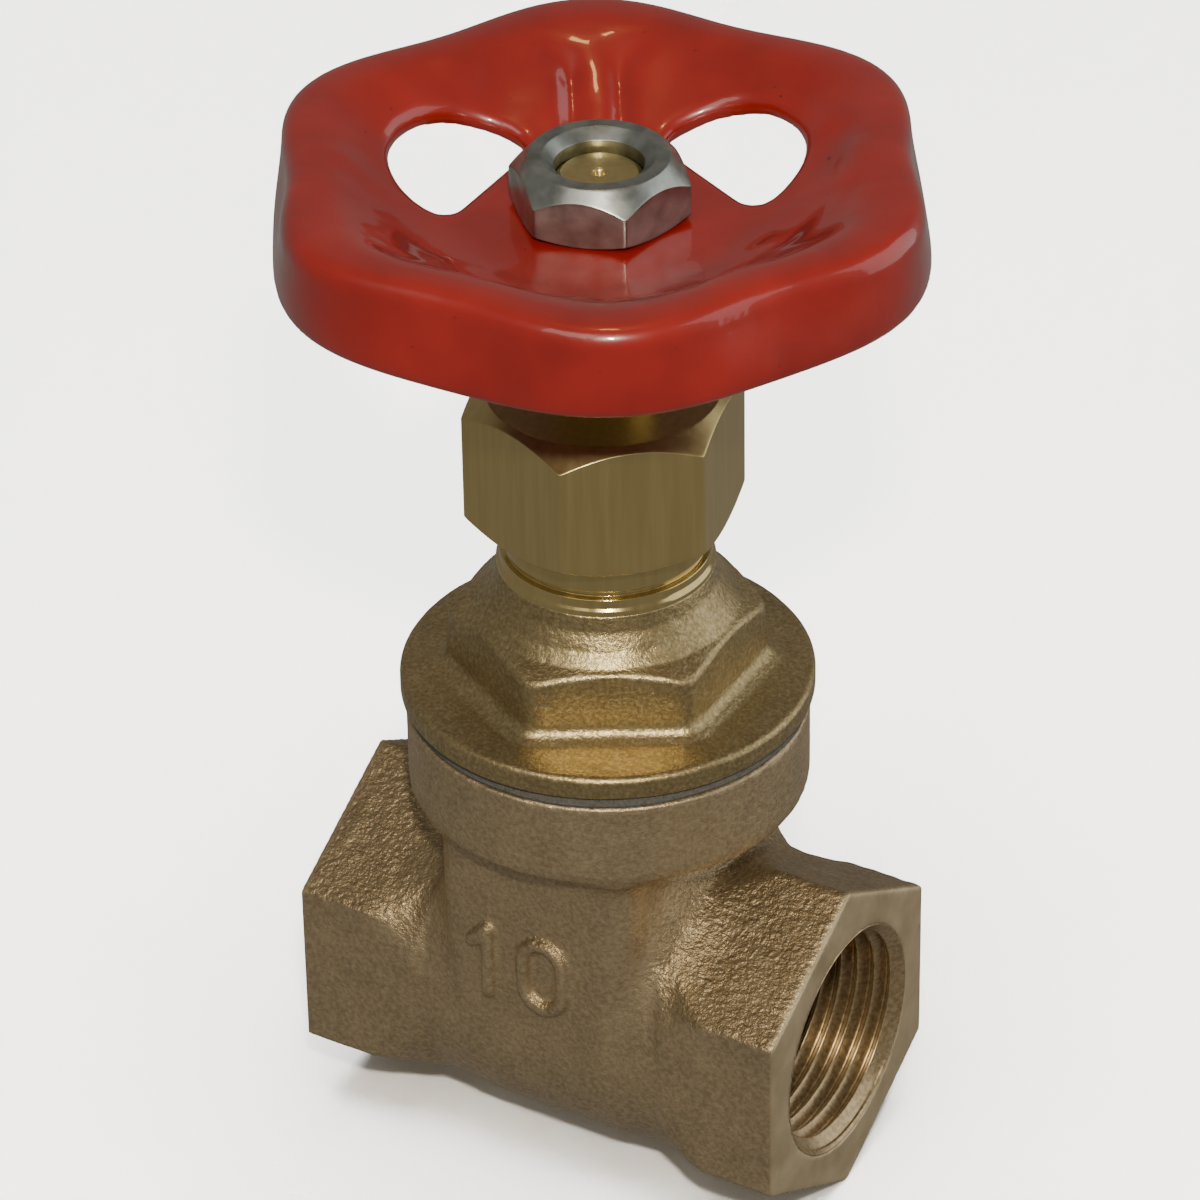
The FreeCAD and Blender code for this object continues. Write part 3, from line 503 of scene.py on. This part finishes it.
WHEEL_TURN = 2.4
LOBE_RADIUS, LOBES = 22.66, 6
SHEET = 1.4
WINDOW_ANGLES, WINDOW_INNER, WINDOW_CENTRE, WINDOW_RADIUS = (62, 178), 8.4, 9.7, 5.6
SPOKE_ANGLE, GROOVE_ASIDE = 120, 0.2
CRESCENT_ANGLES, CRESCENT_RADIUS = (-110, -10), 12.6


def chaikin(points, rounds):
    """Smooth an open path by cutting each corner at a quarter of its sides."""
    for _ in range(rounds):
        a, b = points[:-1], points[1:]
        inner = np.stack([a * 0.75 + b * 0.25, a * 0.25 + b * 0.75], 1).reshape(-1, 2)
        points = np.concatenate([points[:1], inner, points[-1:]])
    return points


def arc_bump(value, middle, half):
    """1 at the middle, falling to 0 at half a width either side, for angles in degrees."""
    away = abs((value - middle + 180) % 360 - 180)
    return 1 - smoothstep(0.35 * half, half, away)


def bell(value, middle, width):
    """1 at the middle, falling off as the exponential of minus the distance in widths squared."""
    return np.exp(-((value - middle) / width) ** 2)


def turned_about(x, y, turn):
    """Coordinates along and across a direction turn degrees round the axis."""
    cosine, sine = math.cos(math.radians(turn)), math.sin(math.radians(turn))
    return x * cosine + y * sine, y * cosine - x * sine


def make_handwheel():
    """Pressed sheet with a wavy, turned-down rim: the distance to a path in radius and height, less half
    the sheet. The wave of six lobes is taken out of the radius first. It is deepest on the crest, fades
    inwards, and is less along the skirt's lower edge, which flares between the lobes. Two windows are
    cut. The solid third has a shallow crescent on each side and a dent between them, and two grooves run
    out along the spoke."""
    step = 0.28
    reach, rise = LOBE_RADIUS + 1, 0.8
    low = np.array([-reach, -reach, WHEEL_LOW[2] - rise])
    grid = level_grid(low, [reach, reach, WHEEL_HIGH[2] + rise], step)
    x, y, z = grid[..., 0], grid[..., 1], grid[..., 2]
    radius, angle = np.hypot(x, y), np.arctan2(y, x) - math.radians(WHEEL_TURN)
    degrees = np.degrees(angle)
    up = smoothstep(WHEEL_LOW[2], WHEEL_HIGH[2] - 1, z)
    wave = (0.52 + 0.53 * up) * smoothstep(12.5, 20, radius)
    flat = radius - wave * (np.cos(LOBES * angle) - 1)
    half = SHEET / 2
    hub, top = NUT_LOW[2] - half, WHEEL_HIGH[2] - half
    edge = LOBE_RADIUS - half
    path = np.array([(-3, hub), (8.0, hub), (9.6, hub + 0.05), (11.0, hub + 0.4), (13.0, hub + 1.25),
                     (15.0, hub + 2.2), (17.0, hub + 3.15), (18.6, top - 0.25), (19.8, top), (21.0, top),
                     (edge - 0.05, top - 0.1), (edge, top - 1.5), (edge + 0.05, WHEEL_LOW[2] + 2.2),
                     (edge, WHEEL_LOW[2] + half)])
    path = chaikin(path, 3)

    along, across = turned_about(x, y, WHEEL_TURN + SPOKE_ANGLE)
    aside = abs(across + GROOVE_ASIDE)
    grooves = bell(aside, 1.65, 0.7) * smoothstep(5.2, 6.5, along) * smoothstep(16.8, 14.5, along)
    ends = bell(along, 16.2, 1.1) * bell(aside, 2.6, 1.5)
    crescent = sum(arc_bump(degrees, at, 70) for at in CRESCENT_ANGLES)
    crescent = bell(radius, CRESCENT_RADIUS, 2.3) * crescent
    middle = bell(radius, CRESCENT_RADIUS, 1.5) * arc_bump(degrees, sum(CRESCENT_ANGLES) / 2, 50)
    wrinkles = noise(grid, 2.4, 9) * smoothstep(10.5, 13, radius) * smoothstep(18.5, 16.5, radius)
    height = z + 0.2 * wrinkles + 0.6 * grooves + 0.3 * ends + 0.25 * crescent + 0.3 * middle

    distance = np.full(x.shape, 1e3)
    for a, b in zip(path[:-1], path[1:]):
        side = b - a
        t = np.clip(((flat - a[0]) * side[0] + (height - a[1]) * side[1]) / (side @ side), 0, 1)
        distance = np.minimum(distance, np.hypot(flat - a[0] - t * side[0], height - a[1] - t * side[1]))
    field = distance - half

    for window in WINDOW_ANGLES:
        u, v = turned_about(x, y, WHEEL_TURN + window)
        opening = soft_max(np.hypot(u - WINDOW_CENTRE, v) - WINDOW_RADIUS, WINDOW_INNER - u, 1.8)
        field = soft_max(field, -opening, 0.8)
    u, v = turned_about(x, y, WHEEL_TURN)
    field = np.maximum(field, SQUARE_HALF + GAP - np.maximum(abs(u), abs(v)))
    points, quads = skin(field, low, step)
    return make_piece("handwheel_pressing", points, quads, "stem", ["handwheel"])


# -- materials --


def colour(text):
    """Linear colour of an sRGB hex value."""
    parts = [int(text[k:k + 2], 16) / 255 for k in (1, 3, 5)]
    return [c / 12.92 if c <= 0.04045 else ((c + 0.055) / 1.055) ** 2.4 for c in parts] + [1]


def add(tree, kind, inputs=None, stops=(), **settings):
    """A node with its settings. Each input is a value, or the node or socket that is linked to it. stops
    are the positions and hex colours of a colour ramp."""
    node = tree.nodes.new("ShaderNode" + kind)
    for name, value in settings.items():
        setattr(node, name, value)
    for _ in stops[2:]:
        node.color_ramp.elements.new(0.5)
    for k, (position, value) in enumerate(stops):
        node.color_ramp.elements[k].position = position
        node.color_ramp.elements[k].color = colour(value)
    for name, value in (inputs or {}).items():
        if isinstance(value, bpy.types.Node):
            value = next(socket for socket in value.outputs if socket.enabled)
        if isinstance(value, bpy.types.NodeSocket):
            tree.links.new(value, node.inputs[name])
        else:
            node.inputs[name].default_value = value
    return node


def new_material(name):
    """An empty node material: (material, its tree, its object coordinates)."""
    made = bpy.data.materials.new(name)
    made.use_nodes = True
    made.node_tree.nodes.clear()
    return made, made.node_tree, add(made.node_tree, "TexCoord").outputs["Object"]


def finished(made, inputs):
    """The material with its shader of these inputs joined to the output."""
    shader = add(made.node_tree, "BsdfPrincipled", inputs)
    add(made.node_tree, "OutputMaterial", {"Surface": shader})
    return made


def per_mm(size):
    """Texture scale for a pattern of that size in millimetres."""
    return 1 / (size * MM)


def cast_bronze():
    """Gunmetal, sand cast: a dull brown skin with glinting grains, coarse and darker where the sand was
    left, smooth and paler where the end faces were turned."""
    made, tree, place = new_material("gunmetal_sand_cast")
    sandy = add(tree, "Attribute", attribute_name="sandy").outputs["Fac"]
    faced = add(tree, "Attribute", attribute_name="faced").outputs["Fac"]
    blotch = add(tree, "TexNoise", {"Vector": place, "Scale": per_mm(3.0), "Detail": 3})
    grain = add(tree, "TexNoise", {"Vector": place, "Scale": per_mm(0.35), "Detail": 3, "Roughness": 0.65})
    sand = add(tree, "TexNoise", {"Vector": place, "Scale": per_mm(0.42), "Detail": 2, "Roughness": 0.6})
    tone = add(tree, "ValToRGB", {"Fac": blotch}, [(0.3, "#A08E71"), (0.7, "#B5A280")])
    speck = add(tree, "ValToRGB", {"Fac": grain}, [(0.35, "#8D7D64"), (0.5, "#B9A886"), (0.72, "#E5D6B0")])
    bright = add(tree, "ValToRGB", {"Fac": blotch}, [(0.3, "#BBAA86"), (0.7, "#DCCBA6")])
    cast = add(tree, "Mix", {"Factor": 0.4, "A": tone, "B": speck}, data_type="RGBA")
    rough = add(tree, "Mix", {"Factor": sandy, "A": cast, "B": colour("#D6D2CA")}, data_type="RGBA",
                blend_type="MULTIPLY")
    base = add(tree, "Mix", {"Factor": faced, "A": rough, "B": bright}, data_type="RGBA")
    grained = add(tree, "Math", {0: 1.0, 1: faced}, operation="SUBTRACT")
    grains = add(tree, "Bump", {"Height": grain, "Distance": 0.08 * MM, "Strength": grained})
    sanded = add(tree, "Bump", {"Height": sand, "Distance": 0.17 * MM, "Strength": sandy, "Normal": grains})
    shine = add(tree, "MapRange", {"Value": grain, "To Min": 0.58, "To Max": 0.34})
    return finished(made, {"Base Color": base, "Metallic": 0.85, "Roughness": shine, "Normal": sanded})


def machined_bronze():
    """Gunmetal, threaded with a tap: bright cut metal with fine tool marks."""
    made, tree, place = new_material("gunmetal_machined")
    marks = add(tree, "TexNoise", {"Vector": place, "Scale": per_mm(0.3), "Detail": 2})
    tone = add(tree, "ValToRGB", {"Fac": marks}, [(0.35, "#A08C6A"), (0.65, "#BFAB86")])
    cut = add(tree, "Bump", {"Height": marks, "Distance": 0.01 * MM, "Strength": 1})
    shine = add(tree, "MapRange", {"Value": marks, "To Min": 0.24, "To Max": 0.4})
    return finished(made, {"Base Color": tone, "Metallic": 0.9, "Roughness": shine, "Normal": cut})


def blasted_brass():
    """Brass, hot stamped and shot blasted: olive yellow satin with fine glinting grain."""
    made, tree, place = new_material("brass_shot_blasted")
    blotch = add(tree, "TexNoise", {"Vector": place, "Scale": per_mm(2.5), "Detail": 3})
    grain = add(tree, "TexNoise", {"Vector": place, "Scale": per_mm(0.28), "Detail": 3, "Roughness": 0.6})
    tone = add(tree, "ValToRGB", {"Fac": blotch}, [(0.3, "#94845E"), (0.7, "#A8976D")])
    speck = add(tree, "ValToRGB", {"Fac": grain}, [(0.35, "#7F704F"), (0.5, "#AC9B71"), (0.72, "#E2D3A8")])
    base = add(tree, "Mix", {"Factor": 0.4, "A": tone, "B": speck}, data_type="RGBA")
    dents = add(tree, "Bump", {"Height": grain, "Distance": 0.06 * MM, "Strength": 1})
    shine = add(tree, "MapRange", {"Value": grain, "To Min": 0.47, "To Max": 0.27})
    return finished(made, {"Base Color": base, "Metallic": 0.92, "Roughness": shine, "Normal": dents})


def turned_brass(name, low, high):
    """Brass, drawn or turned: bright, with long faint marks along the bar and a roughness from low to
    high."""
    made, tree, place = new_material(name)
    along = add(tree, "Mapping", {"Vector": place, "Scale": (1, 1, 0.06)})
    streak = add(tree, "TexNoise", {"Vector": along, "Scale": per_mm(0.5), "Detail": 3})
    tone = add(tree, "ValToRGB", {"Fac": streak}, [(0.3, "#C2AF78"), (0.7, "#CCBA82")])
    drawn = add(tree, "Bump", {"Height": streak, "Distance": 0.004 * MM, "Strength": 1})
    shine = add(tree, "MapRange", {"Value": streak, "To Min": low, "To Max": high})
    return finished(made, {"Base Color": tone, "Metallic": 0.95, "Roughness": shine, "Normal": drawn})


def red_enamel():
    """Stoving enamel over pressed steel: deep gloss, small dark pits and a soft uneven film."""
    made, tree, place = new_material("red_stoving_enamel")
    film = add(tree, "TexNoise", {"Vector": place, "Scale": per_mm(6.0), "Detail": 2})
    pits = add(tree, "TexNoise", {"Vector": place, "Scale": per_mm(0.8), "Detail": 2, "Roughness": 0.4})
    peel = add(tree, "TexNoise", {"Vector": place, "Scale": per_mm(1.8), "Detail": 1})
    tone = add(tree, "ValToRGB", {"Fac": film}, [(0.3, "#82140C"), (0.7, "#951C12")])
    pitted = add(tree, "ValToRGB", {"Fac": pits}, [(0.19, "#8A4A40"), (0.25, "#FFFFFF")])
    base = add(tree, "Mix", {"Factor": 1.0, "A": tone, "B": pitted}, data_type="RGBA",
               blend_type="MULTIPLY")
    sagged = add(tree, "Bump", {"Height": film, "Distance": 0.12 * MM, "Strength": 1})
    skin_bump = add(tree, "Bump", {"Height": peel, "Distance": 0.02 * MM, "Strength": 1, "Normal": sagged})
    return finished(made, {"Base Color": base, "Roughness": 0.32, "Coat Weight": 0.8, "Coat Roughness": 0.06,
                           "Normal": skin_bump, "Coat Normal": skin_bump})


def zinc_plate():
    """Steel, zinc plated: cool grey with a faint warm passivated tint and cloudy gloss."""
    made, tree, place = new_material("steel_zinc_plated")
    cloud = add(tree, "TexNoise", {"Vector": place, "Scale": per_mm(1.5), "Detail": 3})
    tone = add(tree, "ValToRGB", {"Fac": cloud}, [(0.3, "#8C918C"), (0.7, "#B2B8B2")])
    plating = add(tree, "Bump", {"Height": cloud, "Distance": 0.02 * MM, "Strength": 1})
    shine = add(tree, "MapRange", {"Value": cloud, "To Min": 0.28, "To Max": 0.4})
    return finished(made, {"Base Color": tone, "Metallic": 1.0, "Roughness": shine, "Normal": plating})


def gasket_fibre():
    """Compressed fibre sheet: matt grey with short fibres."""
    made, tree, place = new_material("fibre_sheet_compressed")
    fibre = add(tree, "TexNoise", {"Vector": place, "Scale": per_mm(0.25), "Detail": 4, "Roughness": 0.7})
    tone = add(tree, "ValToRGB", {"Fac": fibre}, [(0.3, "#4C4C48"), (0.7, "#6E6C64")])
    fibres = add(tree, "Bump", {"Height": fibre, "Distance": 0.04 * MM, "Strength": 1})
    return finished(made, {"Base Color": tone, "Roughness": 0.85, "Normal": fibres})


def graphite_packing():
    """Graphited braid, pressed into rings: dark grey with a soft sheen."""
    made, tree, place = new_material("graphite_braid_pressed")
    braid = add(tree, "TexNoise", {"Vector": place, "Scale": per_mm(0.6), "Detail": 3})
    tone = add(tree, "ValToRGB", {"Fac": braid}, [(0.3, "#1E1E1F"), (0.7, "#39393B")])
    strands = add(tree, "Bump", {"Height": braid, "Distance": 0.06 * MM, "Strength": 1})
    return finished(made, {"Base Color": tone, "Roughness": 0.6, "Normal": strands})


def white_card():
    """Matt white card, faintly uneven."""
    made, tree, place = new_material("card_matt_white")
    cloud = add(tree, "TexNoise", {"Vector": place, "Scale": per_mm(400.0), "Detail": 1})
    tone = add(tree, "ValToRGB", {"Fac": cloud}, [(0.3, "#F4F4F2"), (0.7, "#F8F8F7")])
    return finished(made, {"Base Color": tone, "Roughness": 0.9})


def dress(objects, material):
    """Give every slot of these objects one material."""
    for piece in objects:
        piece.data.materials.clear()
        piece.data.materials.append(material)


# -- floor, light and camera --

AZIMUTH, ELEVATION, ROLL, DISTANCE = 30.80, 33.47, -0.95, 0.41785
LOOK_AT = np.array([AXIS_X, 0, 32.26]) * MM
FOCAL, SENSOR = 183.6, 36
SHIFT = (-0.0053, -0.0154)
FLOOR_REACH = 3.0
WORLD_COLOUR, WORLD_STRENGTH = "#D6D0C8", 0.35


def stand_round(name, data, azimuth, elevation, distance, roll=0.0):
    """Put a camera or a lamp at a direction and distance in metres round the valve, facing it. Azimuth 0
    is in front, and roll turns it about its own line of sight."""
    a, e, r = (math.radians(value) for value in (azimuth, elevation, roll))
    backward = np.array([math.sin(a) * math.cos(e), -math.cos(a) * math.cos(e), math.sin(e)])
    right = np.array([math.cos(a), math.sin(a), 0])
    up = np.cross(backward, right)
    matrix = np.eye(4)
    matrix[:3, 0] = math.cos(r) * right + math.sin(r) * up
    matrix[:3, 1] = math.cos(r) * up - math.sin(r) * right
    matrix[:3, 2] = backward
    matrix[:3, 3] = LOOK_AT + backward * distance
    item = bpy.data.objects.new(name, data)
    item.matrix_world = matrix.T
    bpy.context.scene.collection.objects.link(item)
    return item


def make_camera():
    data = bpy.data.cameras.new("camera")
    data.lens, data.sensor_width = FOCAL, SENSOR
    data.shift_x, data.shift_y = SHIFT
    data.clip_start, data.clip_end = 0.01, 20
    bpy.context.scene.camera = stand_round("camera", data, AZIMUTH, ELEVATION, DISTANCE, ROLL)


def make_light(name, azimuth, elevation, distance, size, power, tint="#FFFFFF"):
    """Square area light of a size in metres and a power in watts."""
    data = bpy.data.lights.new(name, "AREA")
    data.size, data.energy = size, power
    data.color = colour(tint)[:3]
    return stand_round(name, data, azimuth, elevation, distance)


def make_floor():
    """Pale floor under the lowest point, with a light of its own. It casts no light on the valve."""
    level = BODY_LOW[2] * MM
    corners = [(-1, -1), (1, -1), (1, 1), (-1, 1)]
    mesh = bpy.data.meshes.new("floor")
    mesh.from_pydata([(x * FLOOR_REACH, y * FLOOR_REACH, level) for x, y in corners], [], [(0, 1, 2, 3)])
    floor = bpy.data.objects.new("floor", mesh)
    bpy.context.scene.collection.objects.link(floor)
    floor.visible_diffuse = floor.visible_glossy = False
    dress([floor], white_card())
    floor_light = make_light("floor_light", AZIMUTH, 84, 2.0, 1.4, 170)
    only_floor = bpy.data.collections.new("floor_only")
    only_floor.objects.link(floor)
    floor_light.light_linking.receiver_collection = only_floor


def make_lights():
    """Soft world, a small flash just above the camera, two soft panels and a small lamp behind."""
    world = bpy.data.worlds.new("studio")
    world.use_nodes = True
    background = world.node_tree.nodes["Background"]
    background.inputs["Color"].default_value = colour(WORLD_COLOUR)
    background.inputs["Strength"].default_value = WORLD_STRENGTH
    bpy.context.scene.world = world
    make_light("flash", AZIMUTH + 2, ELEVATION + 8, 0.45, 0.02, 1.7, "#FFF4E4")
    make_light("key", AZIMUTH - 35, 50, 0.7, 0.3, 0.65, "#FFF8F0")
    make_light("fill", AZIMUTH + 95, 15, 0.7, 0.8, 2.2)
    make_light("ceiling", AZIMUTH + 180, 81, 0.5, 0.05, 0.17, "#FFC880")


# -- build --

casting = make_body()
threads = [make_port_thread("thread_outlet", 1), make_port_thread("thread_inlet", -1)]
gasket = make_gasket()
bonnet = make_bonnet()
neck = make_neck()
gland = make_gland_nut()
stem = make_stem()
wheel = make_handwheel()
nut = make_handwheel_nut()

brass = turned_brass("brass_drawn_bar", 0.28, 0.36)
dress([casting], cast_bronze())
dress(threads, machined_bronze())
dress([gasket], gasket_fibre())
dress([bonnet], blasted_brass())
dress([gland, stem], brass)
dress([neck], turned_brass("brass_turned_bright", 0.1, 0.2))
dress([wheel], red_enamel())
dress([nut], zinc_plate())
turnings = ["stem_retaining_ring", "packing_washer", "gland_follower", "wedge_gate"]
dress([frame["nodes"][name] for name in turnings], brass)
packing = graphite_packing()
dress([frame["nodes"]["packing_ring_" + place] for place in ("lower", "middle", "upper")], packing)

make_floor()
make_lights()
make_camera()
